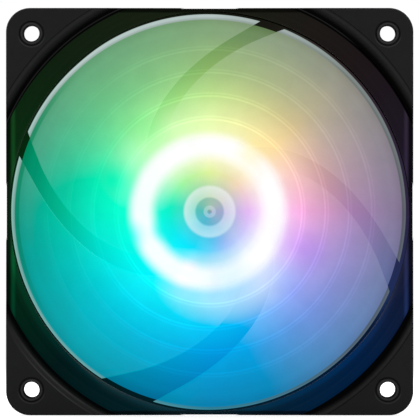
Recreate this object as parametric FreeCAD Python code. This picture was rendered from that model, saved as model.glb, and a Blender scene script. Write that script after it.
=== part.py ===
"""A 120 mm case fan with translucent blades, lit from the hub by a ring of LEDs.

The fan stands upright. +Z is up, the spin axis is Y, and air goes in at the front, towards -Y.
The origin is on the spin axis, halfway between the front and rear faces. Lengths are in
millimetres. Angles are in degrees, anticlockwise from +X for someone who faces the front.
"""

import FreeCAD, Part
import math
import os

from FreeCAD import Vector

# Envelope: the standard 120 mm fan.
WIDTH = 120.0
DEPTH = 25.0
HOLE_SPACING = 105.0
HOLE_R = 2.33
CORNER_R = 7.1
EDGE_BREAK = 0.4
HALF = WIDTH / 2
FRONT = -DEPTH / 2
REAR = DEPTH / 2
PAST = 1.0  # how far a cutting tool runs past the face that it cuts
TOUCH = 1e-6  # two depths that differ by less than this are the same

# Shroud: flanges at the front and rear, joined by a tube with open corners.
FLANGE = 4.5
THROAT_R = 59.1
TUBE_R = 61.4
TUBE_INSET = 0.2
MOUTH_LIP_R = 65.1
MOUTH_LIP_Y = -10.2
MOUTH_ROLL_R = 68.9
MOUTH_ROLL = 4.0
LIP_GROOVE = 0.35
LIP_WALL = (0.05, 0.25)
OUTLET_R = 57.0
OUTLET_STEP_Y = 8.8
OUTLET_STEP = 1.0
POST_R = 4.4
POST_RIB = 1.6

# Rubber corner pads, let into both flanges, with a boss of the frame round each screw hole.
PAD = 1.5
PAD_R = 69.2
PAD_HOLE_R = 3.6
BOSS_R = 3.3
HOLE_BREAK = 0.32

# Impeller: four wide blades that sweep back from the hub to the tip.
TIP_R = 58.6
HUB_R = 22.4
HUB_WALL = 1.2
HUB_FRONT = -9.5
HUB_CAP = 1.5
HUB_ROUND = 2.0
HUB_REAR = 6.5
YOKE_COLLAR = 0.8
YOKE_COLLAR_REAR = -5.0
BLADE_ROOT_R = 21.8
BLADE_FRONT = -7.3
BLADE_RISE = 13.6
BLADE = 1.2
BLADE_CAMBER = 0.25
BLADE_ROWS = 11
BLADE_COLUMNS = 17
# Each gap between two blades, at the tip: (leading edge of one blade, trailing edge of the next).
GAPS = ((67.2, 74.7), (156.2, 163.7), (237.1, 253.4), (335.4, 344.4))
CABLE_GAP = 2
LEAD_SWEEP = (1.13, 0.0153)
TRAIL_SWEEP = (1.0, 0.0285)

# Face of the hub: a raised ring, a dished middle and a moulding gate mark.
FACE_RING = (4.2, 7.6, 0.4)
FACE_DISH = 0.4
GATE_RING = (1.0, 1.8, 0.25)

# Struts, each behind one gap of the parked impeller. The widest one carries the wires.
STRUT_FRONT = 8.8
STRUT_MARGIN = 1.2
STRUT_ROUND = 0.8
STRUT_POINTS = 15
CHANNEL = 4.6
CHANNEL_FLOOR = 10.4
CHANNEL_START_R = 19.5
CHANNEL_END_R = 68.0

# Motor base, board and bearing.
BASE_R = 22.4
BASE_RIM = 0.9
BASE_FLOOR = 10.6
BOARD_SEAT_R = 6.0
LABEL_R = 18.8
LABEL = 0.3
LABEL_PLAY = 0.1
BOARD = (4.6, 21.3, 8.8, 9.8)
SHAFT_R = 1.5
RUNNING_FIT = 0.03
SLEEVE_R = 2.6
BEARING_TUBE_R = 4.0
BEARING_TUBE_FRONT = -3.5
SLEEVE = (-3.0, 9.4)
SEAL = (1.6, -3.4, -3.0)
THRUST = (10.3, 11.0)
SHAFT = (-7.6, 10.25)
CLIP = (1.2, 2.3, 9.5, 9.8)
CLIP_SLOT = 1.4
BUSH = (3.0, 4.2, -4.2)

# Rotor magnet and steel yoke.
YOKE_R = 16.6
YOKE_WALL = 0.8
YOKE_REAR = 6.5
MAGNET = (14.2, -5.0, 6.2)

# Stator: four poles.
POLES = 4
CORE = (-1.0, 5.0)
CORE_RING_R = 6.0
ARM_WIDTH = 3.2
ARM_LAP = 0.5  # how far an arm runs into the ring and into its shoe
SHOE = (11.5, 13.6)
SHOE_ANGLE = 72.0
BOBBIN_WALL = 0.8
BOBBIN_WIDTH = 5.0
BOBBIN_RING_R = 6.6
BOBBIN_FLANGE = (10.0, 10.8, 9.0)
BOBBIN_LIP = 1.6
COIL = 1.6

# Parts on the board: (angle, radius, radial size, tangential size, height).
LEDS = 8
LED_R = 19.5
LED_SIZE = (3.0, 3.5, 1.4)
CHIP = (45.0, 12.0, 4.4, 5.0, 1.6)
HALL = (315.0, 14.6, 1.6, 3.2, 1.9)
CAPACITOR = (225.0, 11.5, 2.0, 2.2)

AXIS = Vector(0, 1, 0)
ANTICLOCKWISE = Vector(0, -1, 0)
ORIGIN = Vector(0, 0, 0)


def polar(radius, angle, y=0.0):
    """The point at this radius, angle and depth."""
    turn = math.radians(angle)
    return Vector(radius * math.cos(turn), y, radius * math.sin(turn))


def turned_to(shape, angle):
    """A copy of the shape, turned anticlockwise about the spin axis."""
    copy = shape.copy()
    copy.rotate(ORIGIN, ANTICLOCKWISE, angle)
    return copy


def disc(radius, y0, y1):
    return Part.makeCylinder(radius, y1 - y0, Vector(0, y0, 0), AXIS)


def ring(inner, outer, y0, y1):
    return disc(outer, y0, y1).cut(disc(inner, y0 - PAST, y1 + PAST))


def block(x0, x1, y0, y1, z0, z1):
    return Part.makeBox(x1 - x0, y1 - y0, z1 - z0, Vector(x0, y0, z0))


def bar(r0, r1, width, y0, y1, angle=0.0):
    """A block that runs outwards from r0 to r1 at this angle."""
    return turned_to(block(r0, r1, y0, y1, -width / 2, width / 2), angle)


def post(radius, x, z, y0, y1):
    return Part.makeCylinder(radius, y1 - y0, Vector(x, y0, z), AXIS)


def revolved(edges):
    """The solid that a closed outline of (radius, depth) makes round the spin axis."""
    return Part.Face(Part.Wire(edges)).revolve(ORIGIN, AXIS, 360)


def outline(points):
    """Edges from point to point, and back to the first. A triple's third value is a corner's
    middle point (radius, depth), and makes the edge that ends there an arc."""
    edges = []
    for here, there in zip(points, points[1:] + points[:1]):
        start = Vector(here[0], here[1], 0)
        end = Vector(there[0], there[1], 0)
        if len(there) == 3:
            middle = Vector(there[2][0], there[2][1], 0)
            edges.append(Part.Arc(start, middle, end).toShape())
        else:
            edges.append(Part.LineSegment(start, end).toShape())
    return edges


def on_arc(centre, radius, angle):
    """A (radius, depth) point on an arc. The angle runs from +radius towards +depth."""
    turn = math.radians(angle)
    return (centre[0] + radius * math.cos(turn), centre[1] + radius * math.sin(turn))


def union(shapes):
    first, *rest = shapes
    return first.multiFuse(rest).removeSplitter() if rest else first


def screw_places():
    """The four screw holes, anticlockwise from the upper right."""
    reach = HOLE_SPACING / 2
    return [(reach, reach), (-reach, reach), (-reach, -reach), (reach, -reach)]


# The sweep of the blades, which the struts and the wire channel follow too.


def swept(radius, sweep):
    """How far an edge has turned at this radius, in degrees from where it meets the tip."""
    inward = TIP_R - radius
    return inward * (sweep[0] + sweep[1] * max(inward, 0.0))


def gap_edges(gap, radius):
    """The angles of the two edges of a gap at this radius."""
    lead, trail = GAPS[gap]
    return lead + swept(radius, LEAD_SWEEP), trail + swept(radius, TRAIL_SWEEP)


def swept_plate(edges_at, r0, r1, y0, y1):
    """A plate between two swept edges. edges_at gives both angles at a radius."""
    radii = [r0 + (r1 - r0) * i / (STRUT_POINTS - 1) for i in range(STRUT_POINTS)]
    sides = []
    for side in (0, 1):
        curve = Part.BSplineCurve()
        curve.interpolate([polar(r, edges_at(r)[side], y0) for r in radii])
        sides.append(curve.toShape())
    ends = [
        Part.LineSegment(polar(r, edges_at(r)[0], y0), polar(r, edges_at(r)[1], y0)).toShape()
        for r in (r0, r1)
    ]
    face = Part.Face(Part.Wire(Part.__sortEdges__([sides[0], ends[1], sides[1], ends[0]])))
    return face.extrude(Vector(0, y1 - y0, 0))


# Frame and pads.


def envelope():
    """The whole fan's outline, with its corners rounded and its outer edges broken."""
    solid = block(-HALF, HALF, FRONT, REAR, -HALF, HALF)
    corners = [e for e in solid.Edges if abs(e.Vertexes[0].Y - e.Vertexes[1].Y) > DEPTH / 2]
    solid = solid.makeFillet(CORNER_R, corners)
    rims = [
        e
        for e in solid.Edges
        if all(abs(abs(v.Y) - REAR) < TOUCH for v in e.Vertexes)
        and abs(e.Vertexes[0].Y - e.Vertexes[1].Y) < TOUCH
    ]
    return solid.makeChamfer(EDGE_BREAK, rims)


def air_passage():
    """Everything inside the shroud: the rolled corner, the mouth, the throat and the outlet."""
    roll_centre = (MOUTH_ROLL_R, FRONT + MOUTH_ROLL)
    roll_end = -90 - math.degrees(math.asin((MOUTH_ROLL_R - MOUTH_LIP_R - LIP_GROOVE) / MOUTH_ROLL))
    mouth_r = MOUTH_LIP_R - THROAT_R
    mouth_centre = (MOUTH_LIP_R, MOUTH_LIP_Y + mouth_r)
    roll_foot = on_arc(roll_centre, MOUTH_ROLL, roll_end)
    points = [
        (0.0, FRONT - PAST),
        (MOUTH_ROLL_R, FRONT - PAST),
        (MOUTH_ROLL_R, FRONT),
        (*roll_foot, on_arc(roll_centre, MOUTH_ROLL, (roll_end - 90) / 2)),
        (MOUTH_LIP_R, MOUTH_LIP_Y + LIP_GROOVE + LIP_WALL[1]),
        (MOUTH_LIP_R - LIP_WALL[0], MOUTH_LIP_Y),
        (THROAT_R, mouth_centre[1], on_arc(mouth_centre, mouth_r, -135)),
        (THROAT_R, OUTLET_STEP_Y),
        (OUTLET_R, OUTLET_STEP_Y + OUTLET_STEP),
        (OUTLET_R, REAR - EDGE_BREAK),
        (OUTLET_R + EDGE_BREAK, REAR),
        (OUTLET_R + EDGE_BREAK, REAR + PAST),
        (0.0, REAR + PAST),
    ]
    return revolved(outline(points))


def pad_pockets():
    """The four corners outside the pad line, at the front and at the rear."""
    square = HALF + PAST
    pockets = []
    for y0, y1 in ((FRONT - PAST, FRONT + PAD), (REAR - PAD, REAR + PAST)):
        layer = block(-square, square, y0, y1, -square, square)
        layer = layer.cut(disc(PAD_R, y0 - PAST, y1 + PAST))
        pockets.append(layer)
    return pockets


def open_corners():
    """The space between the flanges and outside the tube, less the screw posts."""
    y0 = FRONT + FLANGE
    y1 = REAR - FLANGE
    square = HALF + PAST
    flat = HALF - TUBE_INSET
    tube = disc(TUBE_R, y0, y1).common(block(-flat, flat, y0, y1, -flat, flat))
    space = block(-square, square, y0, y1, -square, square).cut(tube)
    for x, z in screw_places():
        space = space.cut(post(POST_R, x, z, y0, y1))
        rib = bar(TUBE_R - PAST, math.hypot(x, z), POST_RIB, y0, y1)
        space = space.cut(turned_to(rib, math.degrees(math.atan2(z, x))))
    return space


def strut(gap):
    """A strut that covers one gap, with a margin on each side."""

    def edges(radius):
        lead, trail = gap_edges(gap, radius)
        margin = math.degrees(STRUT_MARGIN / radius)
        return lead - margin, trail + margin

    plate = swept_plate(edges, BASE_R - BASE_RIM, TUBE_R - EDGE_BREAK, STRUT_FRONT, REAR)
    rear_edges = [
        e
        for e in plate.Edges
        if isinstance(e.Curve, Part.BSplineCurve) and abs(e.Vertexes[0].Y - REAR) < TOUCH
    ]
    return plate.makeFillet(STRUT_ROUND, rear_edges)


def wire_channel():
    """The open groove along the back of the widest strut, out through the rear flange."""

    def edges(radius):
        middle = sum(gap_edges(CABLE_GAP, radius)) / 2
        half = math.degrees(CHANNEL / 2 / radius)
        return middle - half, middle + half

    return swept_plate(edges, CHANNEL_START_R, CHANNEL_END_R, CHANNEL_FLOOR, REAR + PAST)


def motor_base():
    """The round block that becomes the motor's base."""
    points = [
        (0.0, STRUT_FRONT),
        (BASE_R, STRUT_FRONT),
        (BASE_R, REAR - STRUT_ROUND),
        (BASE_R - STRUT_ROUND, REAR),
        (0.0, REAR),
    ]
    return revolved(outline(points))


def board_cavity():
    """The space for the circuit board in the base, less the seat round the bearing tube."""
    cavity = disc(BASE_R - BASE_RIM, STRUT_FRONT - PAST, BASE_FLOOR)
    return cavity.cut(disc(BOARD_SEAT_R, BOARD[3], BASE_FLOOR))


def fan_frame():
    """The frame: flanges, tube, struts and motor base in one moulding."""
    shell = envelope().cut(air_passage())
    shell = shell.cut(open_corners())
    pockets = pad_pockets()
    for x, z in screw_places():
        pockets = [p.cut(post(BOSS_R, x, z, FRONT - PAST, REAR + PAST)) for p in pockets]
    for pocket in pockets:
        shell = shell.cut(pocket)
    shell = union([shell, motor_base(), *[strut(gap) for gap in range(len(GAPS))]])
    shell = shell.cut(board_cavity())
    shell = shell.cut(wire_channel())
    shell = shell.cut(disc(BEARING_TUBE_R, STRUT_FRONT - PAST, REAR + PAST))
    shell = shell.cut(disc(LABEL_R + LABEL_PLAY, REAR - LABEL, REAR + PAST))
    for x, z in screw_places():
        shell = shell.cut(post(HOLE_R, x, z, FRONT - PAST, REAR + PAST))
        for face, inside in ((FRONT, 1), (REAR, -1)):
            mouth = Part.makeCone(
                HOLE_R + HOLE_BREAK, HOLE_R, HOLE_BREAK, Vector(x, face, z), Vector(0, inside, 0)
            )
            shell = shell.cut(mouth)
    return shell


def corner_pads():
    """The eight pads, front ones first, each set anticlockwise from the upper right."""
    whole = envelope()
    pads = {}
    for side, pocket in zip(("front", "rear"), pad_pockets()):
        layer = whole.common(pocket)
        for number, (x, z) in enumerate(screw_places(), 1):
            far_x = math.copysign(HALF + PAST, x)
            far_z = math.copysign(HALF + PAST, z)
            quarter = block(
                min(0, far_x), max(0, far_x), FRONT - PAST, REAR + PAST, min(0, far_z), max(0, far_z)
            )
            pad = layer.common(quarter).cut(post(PAD_HOLE_R, x, z, FRONT - PAST, REAR + PAST))
            pads[f"{side}_pad_{number}"] = pad
    return pads


# Impeller and rotor.


def blade_depth(part):
    """The depth of a blade's front surface, from its leading edge (0) to its trailing edge (1)."""
    return BLADE_FRONT + BLADE_RISE * ((1 - BLADE_CAMBER) * part + BLADE_CAMBER * part * part)


def blade(gap):
    """The blade between this gap's trailing edge and the next gap's leading edge."""
    after = (gap + 1) % len(GAPS)
    rows = []
    for i in range(BLADE_ROWS):
        radius = BLADE_ROOT_R + (TIP_R - BLADE_ROOT_R) * i / (BLADE_ROWS - 1)
        trail = gap_edges(gap, radius)[1]
        lead = gap_edges(after, radius)[0]
        if after == 0:
            lead += 360
        row = []
        for j in range(BLADE_COLUMNS):
            part = j / (BLADE_COLUMNS - 1)
            row.append(polar(radius, lead + (trail - lead) * part, blade_depth(part)))
        rows.append(row)
    surface = Part.BSplineSurface()
    surface.interpolate(rows)
    return surface.toShape().extrude(Vector(0, BLADE, 0))


def hub():
    """The cup that the blades stand on, with a raised ring and a gate mark on its face."""
    ring_in, ring_out, ring_up = FACE_RING
    gate_in, gate_out, gate_up = GATE_RING
    dish = HUB_FRONT + FACE_DISH
    inside = HUB_FRONT + HUB_CAP
    round_centre = (HUB_R - HUB_ROUND, HUB_FRONT + HUB_ROUND)
    points = [
        (0.0, inside),
        (0.0, dish),
        (gate_in, dish),
        (gate_in, dish - gate_up),
        (gate_out, dish - gate_up),
        (gate_out, dish),
        (ring_in, dish),
        (ring_in, HUB_FRONT - ring_up),
        (ring_out, HUB_FRONT - ring_up),
        (ring_out, HUB_FRONT),
        (HUB_R - HUB_ROUND, HUB_FRONT),
        (HUB_R, HUB_FRONT + HUB_ROUND, on_arc(round_centre, HUB_ROUND, -45)),
        (HUB_R, HUB_REAR),
        (HUB_R - HUB_WALL, HUB_REAR),
        (HUB_R - HUB_WALL, inside),
        (YOKE_R + YOKE_COLLAR, inside),
        (YOKE_R + YOKE_COLLAR, YOKE_COLLAR_REAR),
        (YOKE_R, YOKE_COLLAR_REAR),
        (YOKE_R, inside),
    ]
    return revolved(outline(points))


def impeller():
    return union([hub(), *[blade(gap) for gap in range(len(GAPS))]])


def rotor_yoke():
    """The steel cup that closes the magnet's field, with a hole for the bush."""
    front = HUB_FRONT + HUB_CAP
    cup = disc(YOKE_R, front, YOKE_REAR)
    cup = cup.cut(disc(YOKE_R - YOKE_WALL, front + YOKE_WALL, YOKE_REAR + PAST))
    return cup.cut(disc(BUSH[0], front - PAST, front + YOKE_WALL + PAST))


def shaft_bush():
    """The brass bush that holds the shaft in the yoke."""
    front = HUB_FRONT + HUB_CAP
    neck = disc(BUSH[0], front, front + YOKE_WALL)
    body = disc(BUSH[1], front + YOKE_WALL, BUSH[2])
    return neck.fuse(body).removeSplitter().cut(disc(SHAFT_R, SHAFT[0], BUSH[2] + PAST))


def shaft():
    """The shaft, with a groove for the clip."""
    groove = ring(CLIP[0], SHAFT_R + PAST, CLIP[2], CLIP[3])
    return disc(SHAFT_R, *SHAFT).cut(groove)


def retaining_clip():
    """The split ring that keeps the rotor in its bearing."""
    whole = ring(*CLIP)
    return whole.cut(bar(0, CLIP[1] + PAST, CLIP_SLOT, CLIP[2] - PAST, CLIP[3] + PAST))


# Stator.


def pole_angles():
    return [360 * pole / POLES for pole in range(POLES)]


def sector(inner, outer, y0, y1, angle, width):
    """A piece of a ring, width degrees wide, centred on this angle. It is under half a turn."""
    reach = 2 * outer
    corners = [ORIGIN, polar(reach, -width / 2), polar(reach, width / 2), ORIGIN]
    wedge = Part.Face(Part.makePolygon([c + Vector(0, y0, 0) for c in corners]))
    wedge = wedge.extrude(Vector(0, y1 - y0, 0))
    return turned_to(ring(inner, outer, y0, y1).common(wedge), angle)


def stator_core():
    """The stack of steel laminations."""
    pieces = [ring(BEARING_TUBE_R, CORE_RING_R, *CORE)]
    for angle in pole_angles():
        pieces.append(bar(CORE_RING_R - ARM_LAP, SHOE[0] + ARM_LAP, ARM_WIDTH, *CORE, angle))
        pieces.append(sector(*SHOE, *CORE, angle, SHOE_ANGLE))
    return union(pieces)


def bobbin(outside, split):
    """One half of the insulator, from its outer face to the plane where the halves meet."""
    step = math.copysign(BOBBIN_LIP, outside - split)
    y0, y1 = sorted((outside, split))
    lip0, lip1 = sorted((outside + step, split))
    pieces = [ring(BEARING_TUBE_R, BOBBIN_RING_R, lip0, lip1)]
    for angle in pole_angles():
        pieces.append(bar(CORE_RING_R, BOBBIN_FLANGE[1], BOBBIN_WIDTH, y0, y1, angle))
        pieces.append(bar(*BOBBIN_FLANGE[:2], BOBBIN_FLANGE[2], lip0, lip1, angle))
    return union(pieces).cut(stator_core())


def coil(angle):
    """One winding, as a closed block round its arm."""
    y0 = CORE[0] - BOBBIN_WALL
    y1 = CORE[1] + BOBBIN_WALL
    outer = bar(BOBBIN_RING_R, BOBBIN_FLANGE[0], BOBBIN_WIDTH + 2 * COIL, y0 - COIL, y1 + COIL)
    inner = bar(BOBBIN_RING_R - PAST, BOBBIN_FLANGE[0] + PAST, BOBBIN_WIDTH, y0, y1)
    return turned_to(outer.cut(inner), angle)


# Board and its parts.


def on_board(angle, radius, radial, tangential, height):
    """A block that stands on the front of the board."""
    front = BOARD[2]
    return bar(radius - radial / 2, radius + radial / 2, tangential, front - height, front, angle)


def capacitor():
    angle, radius, size, height = CAPACITOR
    place = polar(radius, angle)
    return post(size, place.x, place.z, BOARD[2] - height, BOARD[2])


def build():
    """Every node of the fan, by name."""
    base_rear = REAR - LABEL
    middle = (CORE[0] + CORE[1]) / 2
    nodes = {"fan_frame": fan_frame()}
    nodes.update(corner_pads())
    nodes["rear_label"] = disc(LABEL_R, base_rear, REAR)
    nodes["bearing_tube"] = ring(SLEEVE_R, BEARING_TUBE_R, BEARING_TUBE_FRONT, base_rear)
    nodes["bearing_sleeve"] = ring(SHAFT_R + RUNNING_FIT, SLEEVE_R, *SLEEVE)
    nodes["oil_seal_washer"] = ring(SEAL[0], SLEEVE_R, SEAL[1], SEAL[2])
    nodes["thrust_pad"] = disc(SLEEVE_R, *THRUST)
    nodes["bearing_end_cap"] = disc(SLEEVE_R, THRUST[1], base_rear)
    nodes["stator_core"] = stator_core()
    nodes["bobbin_front"] = bobbin(CORE[0] - BOBBIN_WALL, middle)
    nodes["bobbin_rear"] = bobbin(CORE[1] + BOBBIN_WALL, middle)
    for number, angle in enumerate(pole_angles(), 1):
        nodes[f"coil_{number}"] = coil(angle)
    nodes["circuit_board"] = ring(*BOARD)
    nodes["driver_chip"] = on_board(*CHIP)
    nodes["hall_sensor"] = on_board(*HALL)
    nodes["capacitor"] = capacitor()
    for number in range(LEDS):
        nodes[f"led_{number + 1}"] = on_board(360 * number / LEDS, LED_R, *LED_SIZE)
    nodes["impeller"] = impeller()
    nodes["rotor_yoke"] = rotor_yoke()
    nodes["ring_magnet"] = ring(MAGNET[0], YOKE_R - YOKE_WALL, MAGNET[1], MAGNET[2])
    nodes["shaft_bush"] = shaft_bush()
    nodes["shaft"] = shaft()
    nodes["retaining_clip"] = retaining_clip()
    return nodes


def main():
    os.makedirs("parts", exist_ok=True)
    for name, shape in build().items():
        solid = shape.Solids[0] if len(shape.Solids) == 1 else shape
        print(f"{name}: {len(shape.Solids)} solid, {solid.Volume:.0f} mm3, valid {solid.isValid()}")
        solid.exportStep(f"parts/{name}.step")


main()
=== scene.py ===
"""The looks of a 120 mm case fan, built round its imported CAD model.

Everything is in metres in the CAD model's frame: +Z up, the front towards -Y, the spin axis on Y.
Radii and depths of small features are written in millimetres and turned into metres by MM.
Angles are in degrees, anticlockwise from +X for someone who faces the front. In the materials, a
turn is that angle as a share of a full turn, so a quarter is straight up.
"""

import math

import bpy
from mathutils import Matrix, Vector


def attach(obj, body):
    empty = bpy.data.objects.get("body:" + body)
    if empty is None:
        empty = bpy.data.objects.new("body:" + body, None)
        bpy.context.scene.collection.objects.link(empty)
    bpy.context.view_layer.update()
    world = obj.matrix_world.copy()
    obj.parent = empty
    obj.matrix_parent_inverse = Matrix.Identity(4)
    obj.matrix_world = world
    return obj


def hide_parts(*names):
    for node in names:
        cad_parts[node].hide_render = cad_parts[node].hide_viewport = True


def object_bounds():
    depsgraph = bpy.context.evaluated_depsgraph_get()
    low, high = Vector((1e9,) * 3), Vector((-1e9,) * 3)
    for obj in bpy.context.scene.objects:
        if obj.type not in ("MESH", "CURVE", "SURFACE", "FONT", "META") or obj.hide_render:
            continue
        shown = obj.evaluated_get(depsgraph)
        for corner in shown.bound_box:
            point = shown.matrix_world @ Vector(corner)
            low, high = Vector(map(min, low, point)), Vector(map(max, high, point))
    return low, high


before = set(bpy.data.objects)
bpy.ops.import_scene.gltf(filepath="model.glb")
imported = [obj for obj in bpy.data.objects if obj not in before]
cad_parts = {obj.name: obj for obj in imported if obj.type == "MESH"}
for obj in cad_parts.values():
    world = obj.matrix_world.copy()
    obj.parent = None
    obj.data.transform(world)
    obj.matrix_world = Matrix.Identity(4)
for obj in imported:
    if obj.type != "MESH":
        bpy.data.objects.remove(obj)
cad_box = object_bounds()

MM = 0.001
FULL_TURN = 360.0

# Shroud and base, as in the CAD model.
FRONT = cad_box[0].y
OUTLET_R = 57.0
THROAT_R = 59.1
MOUTH_LIP_R = 65.1
HOLE_SPACING = 105.0
BASE_R = 22.4
STRUT_FRONT = 8.8
LEDS = 8

# Impeller, as in the CAD model.
TIP_R = 58.6
HUB_R = 22.4
HUB_WALL = 1.2
HUB_FRONT = -9.5
HUB_CAP = 1.5
HUB_ROUND = 2.0
HUB_REAR = 6.5
YOKE_R = 16.6
YOKE_COLLAR = 0.8
YOKE_COLLAR_REAR = -5.0
FACE_RING = (4.2, 7.6, 0.4)
FACE_DISH = 0.4
GATE_RING = (1.0, 1.8, 0.25)
BLADE_ROOT_R = 21.8
BLADE_FRONT = -7.3
BLADE_RISE = 13.6
BLADE = 1.2
BLADE_CAMBER = 0.25
GAPS = ((67.2, 74.7), (156.2, 163.7), (237.1, 253.4), (335.4, 344.4))
LEAD_SWEEP = (1.13, 0.0153)
TRAIL_SWEEP = (1.0, 0.0285)

# Fine relief on the blades: thin ridges at even radii, a flare at the root, and a bead round the tip.
RIDGE_FIRST = 27.2
RIDGE_STEP = 6.9
RIDGES = 4
RIDGE_WIDTH = 0.46
RIDGE_UP = (0.14, 0.06)
FLARE_REACH = 2.2
FLARE_UP = 0.5
BEAD_UP = 0.2
BEAD_RISE = 0.25
TIP_ROUND = 0.3

# From here to the node trees, each FADE is what fade() takes after its value: where the change starts
# and ends, then what it changes from and to. Where those two are left out, they are 0 and 1. Names with
# TURNS are stretches round the fan, in turns. Distances are in millimetres.

# How much lighter the ridges look than the blade, and each one's fainter double just outside it.
RIDGED = (25.5, 51.0)
RIDGE_SHINE_RAMP = (27.0, 50.0, 0.17, 0.125)
RIDGE_ECHO = 0.9
RIDGE_ECHO_SHARE = 0.6
RIDGE_SIDE_FADE = (-35.0, -12.0, 0.35, 1.0)

# The LEDs' light in the blades: linear colours every 45 degrees, at six radii. The red of each is
# pulled down by RED_PINCH afterwards, so that there is none at all over the green and blue side.
RED_PINCH = 0.16
GLOW_RADII = (11.5, 15.5, 26.5, 34.5, 41.5, 53.0)
GLOW_INNER = (
    (0.84, 0.50, 0.94), (0.94, 0.71, 0.50), (0.78, 0.91, 0.33), (0.44, 0.93, 0.36),
    (0.08, 0.91, 0.62), (0.00, 0.83, 0.99), (0.28, 0.68, 1.00), (0.60, 0.62, 0.99),
)
GLOW_RING = (
    (0.98, 0.76, 0.99), (1.00, 0.92, 0.70), (0.97, 0.98, 0.61), (0.73, 0.98, 0.64),
    (0.17, 0.98, 0.71), (0.18, 0.92, 0.99), (0.56, 0.85, 1.00), (0.85, 0.90, 1.00),
)
GLOW_BRIGHT = (
    (0.97, 0.45, 0.84), (0.98, 0.74, 0.36), (0.84, 0.98, 0.44), (0.56, 1.00, 0.48),
    (0.11, 0.99, 0.63), (0.09, 0.92, 0.97), (0.45, 0.80, 1.00), (0.68, 0.71, 0.99),
)
GLOW_MIDDLE = (
    (0.70, 0.33, 0.63), (0.74, 0.55, 0.29), (0.58, 0.76, 0.27), (0.33, 0.81, 0.31),
    (0.03, 0.82, 0.54), (0.00, 0.73, 0.88), (0.10, 0.57, 0.97), (0.39, 0.39, 0.91),
)
GLOW_FAR = (
    (0.51, 0.26, 0.50), (0.56, 0.44, 0.28), (0.43, 0.54, 0.21), (0.27, 0.61, 0.26),
    (0.09, 0.60, 0.39), (0.03, 0.55, 0.70), (0.06, 0.40, 0.81), (0.29, 0.30, 0.74),
)
GLOW_RIM = (
    (0.36, 0.20, 0.33), (0.41, 0.31, 0.25), (0.34, 0.39, 0.20), (0.25, 0.42, 0.21),
    (0.15, 0.37, 0.27), (0.11, 0.39, 0.47), (0.07, 0.27, 0.54), (0.23, 0.25, 0.52),
)
GLOW_END_FADE = (53.5, 57.5, 1.0, 0.82)
HOT_RING_R = 19.6
HOT_RING_CENTRE = (-0.4, -0.1)
HOT_RING_FADE = (5.2, 1.2, 0.0, 0.9)
HOT_RING_WHITE = (1.05, 1.05, 1.07)
# Places where the colour is deeper or redder: middle across and up, reach, and share of each colour kept.
GLOW_PATCHES = (
    (27.0, -11.0, 11.0, (0.8, 0.66, 1.0)),
    (22.5, -19.5, 8.0, (0.78, 0.86, 1.0)),
    (-24.0, -7.5, 7.0, (0.2, 1.0, 0.98)),
    (-29.0, 9.0, 9.0, (0.02, 1.0, 0.95)),
    (-18.0, 24.0, 8.0, (0.8, 1.0, 0.85)),
    (34.0, 7.0, 18.0, (0.97, 0.95, 0.83)),
    (6.0, -20.5, 11.0, (0.78, 0.93, 1.0)),
    (13.0, 14.0, 9.0, (1.0, 0.96, 0.88)),
    (-9.5, -23.5, 6.0, (1.3, 0.96, 1.0)),
    (12.0, 17.5, 6.0, (1.0, 0.98, 0.78)),
    (-0.5, -7.5, 6.5, (0.38, 0.97, 1.0)),
    (-11.0, 1.0, 6.5, (0.6, 0.97, 0.95)),
    (-14.0, -5.5, 5.0, (0.25, 1.0, 1.0)),
    (-5.5, -14.5, 4.0, (1.4, 1.0, 1.0)),
    (3.5, -8.5, 5.0, (0.98, 0.82, 1.0)),
)

# The face of the hub: less light reaches its middle, and its frosted ring and the gate's mark are painted
# with paler light.
HUB_DIM_FADE = (12.5, 6.0, 0.0, 0.44)
HUB_DIM = (0.14, 0.42, 0.52)
RING_FROSTED_GLOW = (0.95, 0.97, 1.0)
RING_FROSTED_GLOW_LOW = (0.72, 0.95, 1.0)
RING_FROSTED_GLOW_SHARES = (0.32, 0.52)
DISC_SHARE = 0.42
DISC = (0.13, 0.33, 0.43)
GATE_SHARE = 0.4
GATE_FROSTED_GLOW = (0.62, 0.75, 0.85)
PIN_FADE = (0.7, 0.2, 0.0, 0.9)
PIN = (0.25, 0.33, 0.38)

# The clear bead at the tips, which takes its light from outside the fan more than from the hub, with a
# painted highlight along its crest.
BEAD_INNER_R = 57.2
BEAD_INNER_CENTRE = (-0.4, -0.48)
BEAD_OUTER_R = 58.4
BEAD_OUTER_CENTRE = (-0.45, -0.12)
BEAD_COLOURS = (
    (0.10, 0.11, 0.13), (0.18, 0.21, 0.20), (0.39, 0.47, 0.45), (0.40, 0.50, 0.48),
    (0.22, 0.42, 0.38), (0.15, 0.40, 0.40), (0.03, 0.22, 0.31), (0.08, 0.12, 0.16),
)
BEAD_CREST_HIGHLIGHT = (0.92, 1.2)
NARROW_TURNS = (0.35, 0.53)
NARROW_BY = 0.22
CLEAR_BAND = 1.3
CLEAR_BAND_TURNS = (0.4, 0.57)
CLEAR_BAND_TINT = (0.25, 0.8, 0.65)

# What the struts lack of the blades' light, because that light has not passed the pale frosting.
HAZE_FADES = ((25.0, 37.0, 0.0, 0.072), (38.0, 54.0, 0.0, 0.03))
HAZE_SIDE_FADE = (20.0, 50.0, 1.0, 0.5)
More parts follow.
